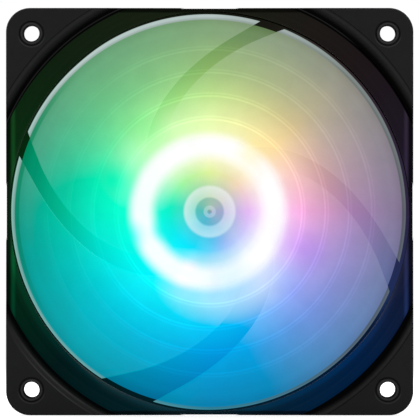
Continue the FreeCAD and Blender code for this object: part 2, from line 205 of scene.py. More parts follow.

# The painted reflection of all this in the polished mouth of the shroud: most of it where its straight sides
# are, more on the right than in the rest of the turn, and more close to the tips in the lower half.
MOUTH_COLOURS = (
    (0.010, 0.007, 0.020), (0.011, 0.007, 0.008), (0.009, 0.011, 0.005), (0.004, 0.013, 0.004),
    (0.000, 0.027, 0.004), (0.000, 0.009, 0.009), (0.000, 0.014, 0.022), (0.000, 0.012, 0.050),
)
MOUTH_CENTRE = (0.0, -0.6)
SIDE_STREAK = (57.4, 58.4)
SIDE_STREAK_GAIN = 1.6
SIDE_FADE = (58.4, 59.0, 1.0, 0.25)
CLOSE_TURNS = (0.53, 0.92)
CLOSE_FADE = (60.0, 61.2, 0.8, 0.0)
REST_TURNS = (0.18, 0.915)
RIGHT_GAIN = 2.6
BEAD_EDGE_GAIN = 0.6
STEP_GAIN = 0.9
MOUTH_DULL_FADES = ((60.2, 62.5, 1.0, 0.15), (62.5, 63.5, 0.15, 0.85))

# The painted lip highlight, the roll's painted shade and crest highlight, the seam of the pads and two
# painted highlight lines, by radius.
LIP_LINE = (65.15, 65.45)
LIP_LINE_TURNS = (0.14, 0.46)
LIP_LINE_LIGHT = 0.012
ROLL_SHADE_FADE = (66.0, 67.9, 1.0, 0.0)
LOW_RIGHT_TURNS = (0.83, 0.92)
LOW_RIGHT_SHIFT = 0.8
ROLL_CREST_HIGHLIGHT = (67.9, 68.7)
PAD_SEAM = (68.95, 69.4)
HIGHLIGHT_LINES = ((67.3, 67.9), (68.75, 69.3))
HIGHLIGHT_LINE_TURNS = (0.6, 0.665)

# Round each screw hole, by distance from its middle: the boss's flat top, and the edge of the pad with its
# painted shade and the painted highlight below the hole.
BOSS_TOP = (2.6, 3.15)
PAD_HOLE_SHADE_FADE = (3.9, 3.6)
PAD_HOLE_HIGHLIGHT = (3.8, 4.15)


# Node trees.


def node(tree, kind, inputs=None, **settings):
    """A shader node. inputs maps a socket's name or number to a value or to another socket."""
    made = tree.nodes.new(kind)
    for key, value in settings.items():
        setattr(made, key, value)
    for key, value in (inputs or {}).items():
        if isinstance(value, bpy.types.NodeSocket):
            tree.links.new(value, made.inputs[key])
        else:
            made.inputs[key].default_value = value
    return made


def calc(tree, operation, *values, clamp=False):
    """Arithmetic on numbers."""
    numbered = dict(enumerate(values))
    return node(tree, "ShaderNodeMath", numbered, operation=operation, use_clamp=clamp).outputs[0]


def product(tree, first, *others):
    """All the numbers multiplied."""
    for other in others:
        first = calc(tree, "MULTIPLY", first, other)
    return first


def vector(tree, operation, *values):
    """Arithmetic on vectors or colours."""
    numbered = dict(enumerate(values))
    return node(tree, "ShaderNodeVectorMath", numbered, operation=operation).outputs["Vector"]


def dot(tree, first, second):
    """The dot product of two vectors."""
    made = node(tree, "ShaderNodeVectorMath", {0: first, 1: second}, operation="DOT_PRODUCT")
    return made.outputs["Value"]


def scaled(tree, colour, factor):
    """A vector or a colour times a number."""
    made = node(tree, "ShaderNodeVectorMath", {0: colour, "Scale": factor}, operation="SCALE")
    return made.outputs["Vector"]


def split(tree, whole):
    """The three parts of a vector."""
    return node(tree, "ShaderNodeSeparateXYZ", {0: whole}).outputs


def fade(tree, value, start, end, low=0.0, high=1.0):
    """A smooth change from low to high as the value goes from start to end."""
    inputs = {0: value, 1: start, 2: end, 3: low, 4: high}
    made = node(tree, "ShaderNodeMapRange", inputs, interpolation_type="SMOOTHSTEP")
    return made.outputs[0]


def ramp_up(tree, value, start, end, low=0.0, high=1.0):
    """The same change in a straight line."""
    return node(tree, "ShaderNodeMapRange", {0: value, 1: start, 2: end, 3: low, 4: high}).outputs[0]


def between(tree, value, low, high, soft):
    """One where the value is between low and high, with soft edges, and nought elsewhere."""
    up = fade(tree, value, low - soft, low + soft)
    down = fade(tree, value, high - soft, high + soft, 1.0, 0.0)
    return product(tree, up, down)


def grey(level):
    """A plain grey."""
    return (level, level, level)


WHITE = grey(1.0)


def mix(tree, share, first, second):
    """A mix of two colours. A plain colour is (red, green, blue)."""
    inputs = {0: share}
    for number, colour in ((6, first), (7, second)):
        inputs[number] = (*colour, 1.0) if isinstance(colour, tuple) else colour
    return node(tree, "ShaderNodeMix", inputs, data_type="RGBA").outputs[2]


def colour_wheel(tree, turn, colours):
    """A ramp through colours at even angles, which closes on itself."""
    made = node(tree, "ShaderNodeValToRGB", {0: turn})
    elements = made.color_ramp.elements
    closed = (*colours, colours[0])
    while len(elements) < len(closed):
        elements.new(0.5)
    for number, (element, colour) in enumerate(zip(elements, closed)):
        element.position = number / len(colours)
        element.color = (*colour, 1.0)
    return made.outputs[0]


def noise(tree, scale, detail=3.0, stretch=(1, 1, 1)):
    """Noise over the piece's own coordinates, with this many cells per metre."""
    point = node(tree, "ShaderNodeTexCoord").outputs["Object"]
    mapped = node(tree, "ShaderNodeMapping", {"Vector": point, "Scale": stretch}).outputs[0]
    inputs = {"Vector": mapped, "Scale": scale, "Detail": detail, "Roughness": 0.55}
    return node(tree, "ShaderNodeTexNoise", inputs).outputs[0]


def uneven(tree, value, low, high):
    """A number between low and high that follows the middle range of a noise."""
    return fade(tree, value, 0.3, 0.7, low, high)


def bump(tree, height, distance, strength=1.0):
    """A bent normal from a height between nought and one, which stands for this distance in metres."""
    inputs = {"Height": height, "Distance": distance, "Strength": strength}
    return node(tree, "ShaderNodeBump", inputs).outputs[0]


def surface(name, inputs):
    """A new material with one Principled shader. inputs(tree) gives what goes into its sockets."""
    material = bpy.data.materials.new(name)
    material.use_nodes = True
    tree = material.node_tree
    shader = tree.nodes["Principled BSDF"]
    for key, value in inputs(tree).items():
        if isinstance(value, bpy.types.NodeSocket):
            tree.links.new(value, shader.inputs[key])
        else:
            shader.inputs[key].default_value = value
    return material


# Where a point is on the fan, and which way the surface faces there.


def position(tree):
    """The point, in millimetres."""
    return scaled(tree, node(tree, "ShaderNodeNewGeometry").outputs["Position"], 1 / MM)


def normal(tree):
    """The way the surface faces."""
    return node(tree, "ShaderNodeNewGeometry").outputs["Normal"]


def place(tree, own=False, centre=(0.0, 0.0)):
    """(radius in mm, turn, depth in mm) about a centre that is given across and up, in mm.

    With own, the place follows the piece when the piece turns.
    """
    point = position(tree)
    if own:
        point = scaled(tree, node(tree, "ShaderNodeTexCoord").outputs["Object"], 1 / MM)
    across, depth, up = split(tree, vector(tree, "SUBTRACT", point, (centre[0], 0.0, centre[1])))
    squares = calc(tree, "ADD", calc(tree, "POWER", across, 2.0), calc(tree, "POWER", up, 2.0))
    turn = calc(tree, "DIVIDE", calc(tree, "ARCTAN2", up, across), 2 * math.pi)
    return calc(tree, "SQRT", squares), calc(tree, "FRACT", turn), depth


def distance(tree, centre):
    """How far a point is from a line along the spin axis through this centre, in mm."""
    return place(tree, centre=centre)[0]


def from_middle(tree):
    """How far a point is from the middle across and up, in mm and without a sign."""
    across, _, up = split(tree, vector(tree, "ABSOLUTE", position(tree)))
    return across, up


def from_hole(tree):
    """How far a point is from the middle of the nearest screw hole, in mm."""
    legs = [calc(tree, "SUBTRACT", leg, HOLE_SPACING / 2) for leg in from_middle(tree)]
    squares = [calc(tree, "POWER", leg, 2.0) for leg in legs]
    return calc(tree, "SQRT", calc(tree, "ADD", *squares))


def away_from_axis(tree):
    """The direction straight away from the spin axis."""
    return vector(tree, "NORMALIZE", vector(tree, "MULTIPLY", position(tree), (1, 0, 1)))


def outward(tree):
    """How far the surface faces away from the spin axis: one if it does, minus one if it faces it."""
    return dot(tree, normal(tree), away_from_axis(tree))


def sideways(tree):
    """How far the surface faces round the spin axis, one way or the other."""
    along = vector(tree, "CROSS_PRODUCT", away_from_axis(tree), (0, 1, 0))
    return calc(tree, "ABSOLUTE", dot(tree, normal(tree), along))


def right_or_rest(tree, turn, right, rest):
    """One number on the right of the fan, and another everywhere else."""
    return calc(tree, "SUBTRACT", right, product(tree, between(tree, turn, *REST_TURNS, 0.02), right - rest))


# The light of the LEDs.


def pinched(tree, colour):
    """The colour with its red stretched downwards by RED_PINCH."""
    wide = vector(tree, "MULTIPLY", colour, (1 + RED_PINCH, 1, 1))
    lower = vector(tree, "SUBTRACT", wide, (RED_PINCH, 0, 0))
    return vector(tree, "MAXIMUM", lower, (0, 0, 0))


def glow(tree, radius, turn):
    """The LEDs' light at this place on the disc of blades."""
    rings = (GLOW_INNER, GLOW_RING, GLOW_BRIGHT, GLOW_MIDDLE, GLOW_FAR, GLOW_RIM)
    colour = colour_wheel(tree, turn, rings[0])
    for start, end, ring in zip(GLOW_RADII, GLOW_RADII[1:], rings[1:]):
        colour = mix(tree, ramp_up(tree, radius, start, end), colour, colour_wheel(tree, turn, ring))
    colour = pinched(tree, colour)
    colour = scaled(tree, colour, fade(tree, radius, *GLOW_END_FADE))
    from_ring = calc(tree, "SUBTRACT", distance(tree, HOT_RING_CENTRE), HOT_RING_R)
    white = fade(tree, calc(tree, "ABSOLUTE", from_ring), *HOT_RING_FADE)
    colour = mix(tree, white, colour, HOT_RING_WHITE)
    for across, up, reach, kept in GLOW_PATCHES:
        share = fade(tree, distance(tree, (across, up)), reach, 0.0)
        colour = vector(tree, "MULTIPLY", colour, mix(tree, share, WHITE, kept))
    return colour


def ridge_shine(tree, radius):
    """What the thin ridges multiply the light by: less towards the tips, and less on the left."""
    half = RIDGE_STEP / 2
    # Ten whole steps more keep the remainder positive inside the first ridge.
    counted = calc(tree, "ADD", calc(tree, "SUBTRACT", radius, RIDGE_FIRST), half + 10 * RIDGE_STEP)
    past = calc(tree, "SUBTRACT", calc(tree, "MODULO", counted, RIDGE_STEP), half)
    line = fade(tree, calc(tree, "ABSOLUTE", past), RIDGE_WIDTH, 0.0)
    past_echo = calc(tree, "SUBTRACT", past, RIDGE_ECHO)
    echo = fade(tree, calc(tree, "ABSOLUTE", past_echo), RIDGE_WIDTH, 0.0, 0.0, RIDGE_ECHO_SHARE)
    shine = ramp_up(tree, radius, *RIDGE_SHINE_RAMP)
    ridged = between(tree, radius, *RIDGED, 0.5)
    side = fade(tree, split(tree, position(tree))[0], *RIDGE_SIDE_FADE)
    return calc(tree, "ADD", 1.0, product(tree, calc(tree, "MAXIMUM", line, echo), shine, ridged, side))


def strut_light(tree, radius, turn):
    """The light that comes between the blades, without the pale haze of their frosting."""
    haze = calc(tree, "ADD", *[fade(tree, radius, *step) for step in HAZE_FADES])
    haze = product(tree, haze, fade(tree, split(tree, position(tree))[0], *HAZE_SIDE_FADE))
    haze = node(tree, "ShaderNodeCombineXYZ", {0: haze, 1: haze, 2: haze}).outputs[0]
    light = vector(tree, "SUBTRACT", glow(tree, radius, turn), haze)
    light = vector(tree, "MAXIMUM", light, (0, 0, 0))
    return scaled(tree, light, ridge_shine(tree, radius))


# The blades.


def hub_face(tree, radius, colour):
    """The light as the hub's face lets it through."""
    colour = mix(tree, fade(tree, radius, *HUB_DIM_FADE), colour, HUB_DIM)
    ring_in, ring_out, _ = FACE_RING
    ring = between(tree, radius, ring_in, ring_out, 0.5)
    ring = product(tree, ring, fade(tree, radius, ring_in, ring_out, *RING_FROSTED_GLOW_SHARES))
    lower = fade(tree, split(tree, position(tree))[2], 1.0, -6.0)
    # Paler painted light on the frosted ring, with less red lower down.
    colour = mix(tree, ring, colour, mix(tree, lower, RING_FROSTED_GLOW, RING_FROSTED_GLOW_LOW))
    colour = mix(tree, fade(tree, radius, ring_in + 0.3, ring_in - 0.4, 0.0, DISC_SHARE), colour, DISC)
    gate = between(tree, radius, GATE_RING[0] - 0.3, GATE_RING[1], 0.2)
    # Paler painted light on the frosted gate mark.
    colour = mix(tree, product(tree, gate, GATE_SHARE), colour, GATE_FROSTED_GLOW)
    return mix(tree, fade(tree, radius, *PIN_FADE), colour, PIN)


def tip_bead(tree, turn, colour):
    """The light as the tips show it: a clear band on the left, the bead with a painted highlight along its
    crest, and its dark edge, painted with the mouth's painted reflection.
    """
    inner = distance(tree, BEAD_INNER_CENTRE)
    band = between(tree, inner, BEAD_INNER_R - CLEAR_BAND, BEAD_INNER_R, 0.2)
    band = product(tree, band, between(tree, turn, *CLEAR_BAND_TURNS, 0.04))
    colour = vector(tree, "MULTIPLY", colour, mix(tree, band, WHITE, CLEAR_BAND_TINT))
    bead = fade(tree, inner, BEAD_INNER_R - 0.15, BEAD_INNER_R + 0.25)
    # A painted highlight along the bead's crest.
    crest_highlight = fade(tree, inner, BEAD_INNER_R + 0.3, BEAD_OUTER_R - 0.3, *BEAD_CREST_HIGHLIGHT)
    colour = mix(tree, bead, colour, scaled(tree, colour_wheel(tree, turn, BEAD_COLOURS), crest_highlight))
    # The bead is narrower on the left.
    narrower = product(tree, between(tree, turn, *NARROW_TURNS, 0.02), NARROW_BY)
    outer = calc(tree, "ADD", distance(tree, BEAD_OUTER_CENTRE), narrower)
    # Past the bead's outer edge the tip is painted dark, with the mouth's painted reflection.
    beyond = fade(tree, outer, BEAD_OUTER_R - 0.1, BEAD_OUTER_R + 0.1)
    gain = right_or_rest(tree, turn, RIGHT_GAIN, BEAD_EDGE_GAIN)
    return mix(tree, beyond, colour, scaled(tree, colour_wheel(tree, turn, MOUTH_COLOURS), gain))


def lit_blades(tree):
    """Frosted plastic that carries the LEDs' light outwards from the hub."""
    radius, turn, _ = place(tree)
    colour = hub_face(tree, radius, glow(tree, radius, turn))
    colour = scaled(tree, colour, ridge_shine(tree, radius))
    colour = tip_bead(tree, turn, colour)
    mottle = noise(tree, 160.0, 4.0)
    colour = scaled(tree, colour, uneven(tree, mottle, 0.975, 1.025))
    return {
        "Base Color": scaled(tree, colour, 0.08),
        "Emission Color": colour,
        "Emission Strength": 0.95,
        "Roughness": uneven(tree, mottle, 0.46, 0.54),
        "Normal": bump(tree, noise(tree, 5200.0, 2.0), 0.00002, 0.35),
        "Specular IOR Level": 0.08,
    }


# The shroud.


def mouth_light(tree, radius, turn, polish, step):
    """The painted reflection of the blades' light in the mouth's polish, and the painted light that the step
    behind the tips takes from them.
    """
    across, up = from_middle(tree)
    streak = product(tree, between(tree, across, *SIDE_STREAK, 0.5), SIDE_STREAK_GAIN)
    gain = calc(tree, "ADD", streak, fade(tree, calc(tree, "MAXIMUM", across, up), *SIDE_FADE))
    close = product(tree, fade(tree, radius, *CLOSE_FADE), between(tree, turn, *CLOSE_TURNS, 0.03))
    gain = product(tree, gain, calc(tree, "ADD", 1.0, close), polish)
    step = product(tree, step, right_or_rest(tree, turn, RIGHT_GAIN, STEP_GAIN))
    return scaled(tree, colour_wheel(tree, turn, MOUTH_COLOURS), calc(tree, "ADD", gain, step))


def satin_black(tree, radius, turn, facing, wear):
    """The plain plastic, with painted light: paler where it faces forwards, a painted highlight along the
    roll's crest, and palest on two painted highlight lines at the lower left.
    """
    front = fade(tree, facing, -0.7, -0.9)
    colour = mix(tree, wear, (0.015, 0.015, 0.0152), (0.02, 0.02, 0.0203))
    # Painted light: what faces forwards is paler.
    colour = mix(tree, front, colour, (0.026, 0.026, 0.0263))
    # A painted highlight along the crest of the roll.
    crest_highlight = product(tree, front, between(tree, radius, *ROLL_CREST_HIGHLIGHT, 0.3))
    colour = mix(tree, crest_highlight, colour, grey(0.037))
    seam = product(tree, front, between(tree, radius, *PAD_SEAM, 0.15))
    colour = mix(tree, seam, colour, grey(0.012))
    boss = product(tree, fade(tree, facing, -0.3, -0.5), between(tree, from_hole(tree), *BOSS_TOP, 0.1))
    colour = mix(tree, boss, colour, grey(0.06))
    # Two painted highlight lines on the roll, at the lower left.
    lines = [between(tree, radius, *line, 0.15) for line in HIGHLIGHT_LINES]
    highlight_lines = product(tree, calc(tree, "MAXIMUM", *lines), between(tree, turn, *HIGHLIGHT_LINE_TURNS, 0.03), front)
    return mix(tree, highlight_lines, colour, grey(0.075))


def black_plastic(tree):
    """Black moulded plastic: satin outside, polished in the mouth, lit by the LEDs in places."""
    radius, turn, depth = place(tree)
    facing = split(tree, normal(tree))[1]
    wear = noise(tree, 90.0, 5.0)
    # The mouth is polished from the throat to its lip, where it faces neither outwards nor sideways.
    from_throat = fade(tree, radius, THROAT_R - 0.3, THROAT_R - 0.1)
    to_lip = fade(tree, distance(tree, MOUTH_CENTRE), MOUTH_LIP_R + 0.15, MOUTH_LIP_R - 0.15)
    inwards = product(tree, fade(tree, outward(tree), 0.3, 0.1), fade(tree, sideways(tree), 0.3, 0.15))
    polish = product(tree, from_throat, to_lip, inwards)
    # Light reaches what faces forwards behind the blades: the struts, and the step behind the tips.
    front_half = fade(tree, depth, 0.0, -2.0)
    behind = fade(tree, depth, STRUT_FRONT - 0.4, STRUT_FRONT - 0.2)
    behind = product(tree, fade(tree, facing, -0.6, -0.95), behind)
    bead_radius = distance(tree, BEAD_INNER_CENTRE)
    step = product(tree, behind, between(tree, bead_radius, BEAD_INNER_R, THROAT_R + 0.3, 0.06))
    strut = product(tree, behind, between(tree, bead_radius, BASE_R - 0.9, BEAD_INNER_R, 0.06))
    # Painted reflection of the blades' light in the polished mouth, and painted light on the step.
    painted_light = mouth_light(tree, radius, turn, product(tree, polish, front_half), step)
    # A hair-thin line of light runs along the lip at the top.
    lip = product(tree, between(tree, radius, *LIP_LINE, 0.1), between(tree, turn, *LIP_LINE_TURNS, 0.01))
    lip = product(tree, lip, fade(tree, facing, 0.0, -0.2), front_half)
    painted_light = mix(tree, lip, painted_light, grey(LIP_LINE_LIGHT))
    # Everything that faces forwards inside the roll is a deep black, with painted shade that fades out
    # across the roll and reaches further out at the lower right.
    low_right = product(tree, between(tree, turn, *LOW_RIGHT_TURNS, 0.03), LOW_RIGHT_SHIFT)
    inside = fade(tree, calc(tree, "SUBTRACT", radius, low_right), *ROLL_SHADE_FADE)
    inside = product(tree, inside, fade(tree, facing, 0.3, 0.0), fade(tree, outward(tree), 0.7, 0.5))
    deep_black_and_shade = mix(tree, wear, grey(0.0008), grey(0.0016))
    satin = fade(tree, wear, 0.35, 0.65, 0.5, 0.58)
    satin = calc(tree, "MAXIMUM", satin, product(tree, inside, 0.8))
    gloss = fade(tree, wear, 0.35, 0.65, 0.15, 0.2)
    for dull_fade in MOUTH_DULL_FADES:
        gloss = calc(tree, "MAXIMUM", gloss, fade(tree, radius, *dull_fade))
    grain = product(tree, noise(tree, 9000.0, 2.0), calc(tree, "SUBTRACT", 1.0, polish))
    return {
        "Base Color": mix(tree, inside, satin_black(tree, radius, turn, facing, wear), deep_black_and_shade),
        "Emission Color": vector(tree, "ADD", scaled(tree, strut_light(tree, radius, turn), strut), painted_light),
        "Emission Strength": 1.0,
        "Roughness": node(tree, "ShaderNodeMix", {0: polish, 2: satin, 3: gloss}).outputs[0],
        "Specular IOR Level": 0.04,
        "Normal": bump(tree, grain, 0.00002, 0.4),
    }


def rubber(tree):
    """Matt rubber with a fine moulded grain, with painted shade at the edge of each screw hole and a painted
    highlight below it.
    """
    cloudy = noise(tree, 120.0, 4.0)
    colour = mix(tree, cloudy, (0.0175, 0.0175, 0.0178), (0.0225, 0.0225, 0.0228))
    hole = from_hole(tree)
    # Painted shade at the edge of each screw hole.
    colour = mix(tree, fade(tree, hole, *PAD_HOLE_SHADE_FADE), colour, grey(0.004))
    up = split(tree, position(tree))[2]
    nearest = product(tree, calc(tree, "SIGN", up), HOLE_SPACING / 2)
    below = fade(tree, calc(tree, "SUBTRACT", up, nearest), 0.0, -3.0)
    # A painted highlight on the pad's edge below each hole.
    colour = mix(tree, product(tree, below, between(tree, hole, *PAD_HOLE_HIGHLIGHT, 0.12)), colour, grey(0.05))
    return {
        "Base Color": colour,
        "Roughness": uneven(tree, cloudy, 0.78, 0.86),
        "Specular IOR Level": 0.3,
        "Normal": bump(tree, noise(tree, 6000.0, 3.0), 0.00003, 0.6),
    }


# The rest of the materials.


def foil(tree):
    """A satin foil label with fine turned brushing, black printed bands and no lettering."""
    radius, turn, _ = place(tree, own=True)
    rings = node(tree, "ShaderNodeCombineXYZ", {0: radius}).outputs[0]
    brushed = node(tree, "ShaderNodeTexNoise", {"Vector": rings, "Scale": 9.0, "Detail": 4.0}).outputs[0]
    base = mix(tree, uneven(tree, brushed, 0.0, 1.0), (0.34, 0.35, 0.37), (0.46, 0.47, 0.49))
    band = between(tree, radius, 13.6, 17.9, 0.04)
    hair = between(tree, radius, 12.7, 12.95, 0.03)
    # A short mark over each LED breaks the band.
    from_mark = calc(tree, "SUBTRACT", calc(tree, "FRACT", product(tree, turn, LEDS)), 0.5)
    mark = fade(tree, calc(tree, "ABSOLUTE", from_mark), 0.05, 0.04)
    mark = product(tree, mark, between(tree, radius, 14.9, 16.6, 0.04))
    ink = calc(tree, "SUBTRACT", calc(tree, "MAXIMUM", band, hair), mark, clamp=True)
    return {
        "Base Color": mix(tree, ink, base, (0.014, 0.014, 0.015)),
        "Metallic": fade(tree, ink, 0.0, 1.0, 0.75, 0.0),
        "Roughness": uneven(tree, brushed, 0.34, 0.46),
    }


def turned_metal(dark, light, low, high):
    """A metal with fine lines from the lathe, which run round the spin axis."""

    def inputs(tree):
        cut = noise(tree, 1500.0, 3.0, stretch=(0.05, 1, 0.05))
        return {
            "Base Color": mix(tree, noise(tree, 300.0), dark, light),
            "Metallic": 1.0,
            "Roughness": uneven(tree, cut, low, high),
            "Normal": bump(tree, cut, 0.00001, 0.4),
        }

    return inputs


def moulded(dark, light, low, high):
    """A plain moulded plastic with a slight grain."""

    def inputs(tree):
        cloudy = noise(tree, 400.0)
        return {
            "Base Color": mix(tree, cloudy, dark, light),
            "Roughness": uneven(tree, cloudy, low, high),
            "Normal": bump(tree, noise(tree, 7000.0), 0.00002, 0.5),
        }

    return inputs


def laminations(tree):
    """Stacked steel sheets, as fine dark lines across the depth."""
    _, _, depth = place(tree, own=True)
    line = fade(tree, calc(tree, "PINGPONG", depth, 0.25), 0.03, 0.08)
    return {
        "Base Color": mix(tree, line, (0.08, 0.08, 0.09), (0.36, 0.37, 0.39)),
        "Metallic": 0.9,
        "Roughness": uneven(tree, noise(tree, 800.0), 0.35, 0.55),
        "Normal": bump(tree, line, 0.00004, 0.6),
    }


def copper_wire(tree):
    """Enamelled copper."""
    shade = noise(tree, 900.0)
    return {
        "Base Color": mix(tree, shade, (0.55, 0.2, 0.07), (0.75, 0.33, 0.14)),
        "Metallic": 0.95,
        "Roughness": uneven(tree, shade, 0.22, 0.34),
        "Coat Weight": 0.5,
    }


def solder_mask(tree):
    """Green solder mask over ring-shaped copper tracks."""
    radius, _, _ = place(tree, own=True)
    track = between(tree, calc(tree, "PINGPONG", radius, 1.1), 0.5, 0.9, 0.06)
    cloudy = noise(tree, 250.0)
    base = mix(tree, cloudy, (0.012, 0.06, 0.03), (0.018, 0.085, 0.042))
    return {
        "Base Color": mix(tree, product(tree, track, 0.7), base, (0.04, 0.17, 0.08)),
        "Roughness": uneven(tree, cloudy, 0.25, 0.35),
        "Normal": bump(tree, track, 0.00003, 0.6),
    }


def led_lens(tree):
    """A lit LED: its own colour at the edge, white in the middle."""
    radius, turn, _ = place(tree)
    middle = between(tree, radius, 18.6, 20.4, 0.4)
    return {
        "Base Color": mix(tree, noise(tree, 500.0), (0.8, 0.8, 0.76), (0.88, 0.88, 0.84)),
        "Emission Color": mix(tree, middle, colour_wheel(tree, turn, GLOW_BRIGHT), WHITE),
        "Emission Strength": 2.5,
        "Roughness": 0.3,
    }


def make_materials():
    """Every material, by the record's slot."""
    recipes = {
        "frame_plastic": black_plastic,
        "pad_rubber": rubber,
        "blade_plastic": lit_blades,
        "label_foil": foil,
        "bearing_brass": turned_metal((0.62, 0.44, 0.18), (0.76, 0.58, 0.27), 0.2, 0.32),
        "bearing_bronze": turned_metal((0.45, 0.28, 0.15), (0.6, 0.4, 0.22), 0.4, 0.55),
        "insulator_plastic": moulded((0.7, 0.69, 0.64), (0.78, 0.77, 0.73), 0.42, 0.52),
        "core_steel": laminations,
        "coil_copper": copper_wire,
        "board_laminate": solder_mask,
        "chip_plastic": moulded((0.016, 0.016, 0.017), (0.026, 0.026, 0.027), 0.5, 0.62),
        "capacitor_can": turned_metal((0.6, 0.6, 0.62), (0.75, 0.75, 0.77), 0.25, 0.35),
        "led_lens": led_lens,
        "yoke_steel": turned_metal((0.4, 0.41, 0.43), (0.52, 0.53, 0.55), 0.28, 0.4),
        "magnet_ferrite": moulded((0.03, 0.03, 0.033), (0.05, 0.05, 0.053), 0.55, 0.7),
        "shaft_steel": turned_metal((0.55, 0.56, 0.58), (0.66, 0.67, 0.69), 0.12, 0.2),
    }
    return {slot: surface(slot, recipe) for slot, recipe in recipes.items()}


# Which slot each CAD node takes its finish from.
NODE_SLOTS = {
    "fan_frame": "frame_plastic",
    "front_pad": "pad_rubber",
    "rear_pad": "pad_rubber",
    "rear_label": "label_foil",
    "bearing_tube": "bearing_brass",
    "bearing_sleeve": "bearing_bronze",
    "oil_seal_washer": "insulator_plastic",
    "thrust_pad": "insulator_plastic",
    "bearing_end_cap": "insulator_plastic",
    "stator_core": "core_steel",
    "bobbin": "insulator_plastic",
    "coil": "coil_copper",
    "circuit_board": "board_laminate",
    "driver_chip": "chip_plastic",
    "hall_sensor": "chip_plastic",
    "capacitor": "capacitor_can",
    "led": "led_lens",
    "impeller": "blade_plastic",
    "rotor_yoke": "yoke_steel",
    "ring_magnet": "magnet_ferrite",
    "shaft_bush": "bearing_brass",
    "shaft": "shaft_steel",
    "retaining_clip": "shaft_steel",
}


def paint_nodes(nodes, materials):
    """Gives every CAD node the material of the longest name in NODE_SLOTS that its own starts with."""
    for name, piece in nodes.items():
        start = max((s for s in NODE_SLOTS if name.startswith(s)), key=len)
        piece.data.materials.clear()
        piece.data.materials.append(materials[NODE_SLOTS[start]])


# Meshes.


def new_mesh(name, points, faces, material, crease=32.0):
    """An object from points in millimetres, smooth except at edges sharper than crease degrees."""
    mesh = bpy.data.meshes.new(name)
    mesh.from_pydata([Vector(p) * MM for p in points], [], faces)
    mesh.update()
    mesh.materials.append(material)
    mesh.shade_smooth()
    mesh.set_sharp_from_angle(angle=math.radians(crease))
    piece = bpy.data.objects.new(name, mesh)
    bpy.context.scene.collection.objects.link(piece)
    return piece


def polar(radius, angle, depth):
    turn = math.radians(angle)
    return (radius * math.cos(turn), depth, radius * math.sin(turn))


def rounded(corners, steps=4):
    """An outline through (radius, depth, rounding) corners, each with an arc of that rounding."""
    path = []
    for i, (r, y, size) in enumerate(corners):
        here = Vector((r, y))
        before = Vector(corners[i - 1][:2])
        after = Vector(corners[(i + 1) % len(corners)][:2])
        if size == 0:
            path.append(here)
            continue
        first = (before - here).normalized()
        second = (after - here).normalized()
        half = first.angle(second) / 2
        centre = here + (first + second).normalized() * size / math.sin(half)
        start = here + first * size / math.tan(half)
        end = here + second * size / math.tan(half)
        for step in range(steps + 1):
            along = start.lerp(end, step / steps)
            path.append(centre + (along - centre).normalized() * size)
    return path


def turned(path, segments):
    """Points and faces of a solid of revolution. The outline's first and last points are on the axis."""
    ring_points = path[1:-1]
    points = [(0.0, path[0].y, 0.0), (0.0, path[-1].y, 0.0)]
    for step in range(segments):
        angle = FULL_TURN * step / segments
        points.extend(polar(p.x, angle, p.y) for p in ring_points)
    count = len(ring_points)
    faces = []
    for step in range(segments):
        here = 2 + step * count
        there = 2 + (step + 1) % segments * count
        faces.append((0, here, there))
        faces.append((1, there + count - 1, here + count - 1))
        for i in range(count - 1):
            faces.append((here + i, here + i + 1, there + i + 1, there + i))
    return points, faces


# Impeller.

HUB_SEGMENTS = 240
CHORD_STEPS = 56
EDGE_STEPS = 8
TIP_STEPS = 4


def swept(radius, sweep):
    """How far an edge has turned at this radius, in degrees from where it meets the tip."""
    inward = TIP_R - radius
    return inward * (sweep[0] + sweep[1] * max(inward, 0.0))


def ridge_height(radius):
    """How far the ridges and the bead raise the front of a blade at this radius."""
    if radius > OUTLET_R:
        return BEAD_UP * min(1.0, (radius - OUTLET_R) / BEAD_RISE)
    for number in range(RIDGES):
        away = abs(radius - RIDGE_FIRST - number * RIDGE_STEP)
        if away < RIDGE_WIDTH / 2:
            first, last = RIDGE_UP
            height = first + (last - first) * number / (RIDGES - 1)
            return height * math.cos(math.pi * away / RIDGE_WIDTH) ** 2
    return 0.0


def blade_rows():
    """Radii of a blade's sections, close together on each ridge and where the bead starts."""
    radii = {BLADE_ROOT_R, HUB_R, HUB_R + 0.5, HUB_R + 1.2, HUB_R + FLARE_REACH}
    for number in range(RIDGES):
        middle = RIDGE_FIRST + number * RIDGE_STEP
        radii.update(middle + RIDGE_WIDTH / 2 * share for share in (-1, -0.6, -0.3, 0, 0.3, 0.6, 1))
        radii.update(middle + RIDGE_STEP / 2 * share for share in (-0.6, 0.6, 1))
    radii.update(OUTLET_R + BEAD_RISE * share for share in (0.0, 0.48, 1.0))
    return sorted(radii)


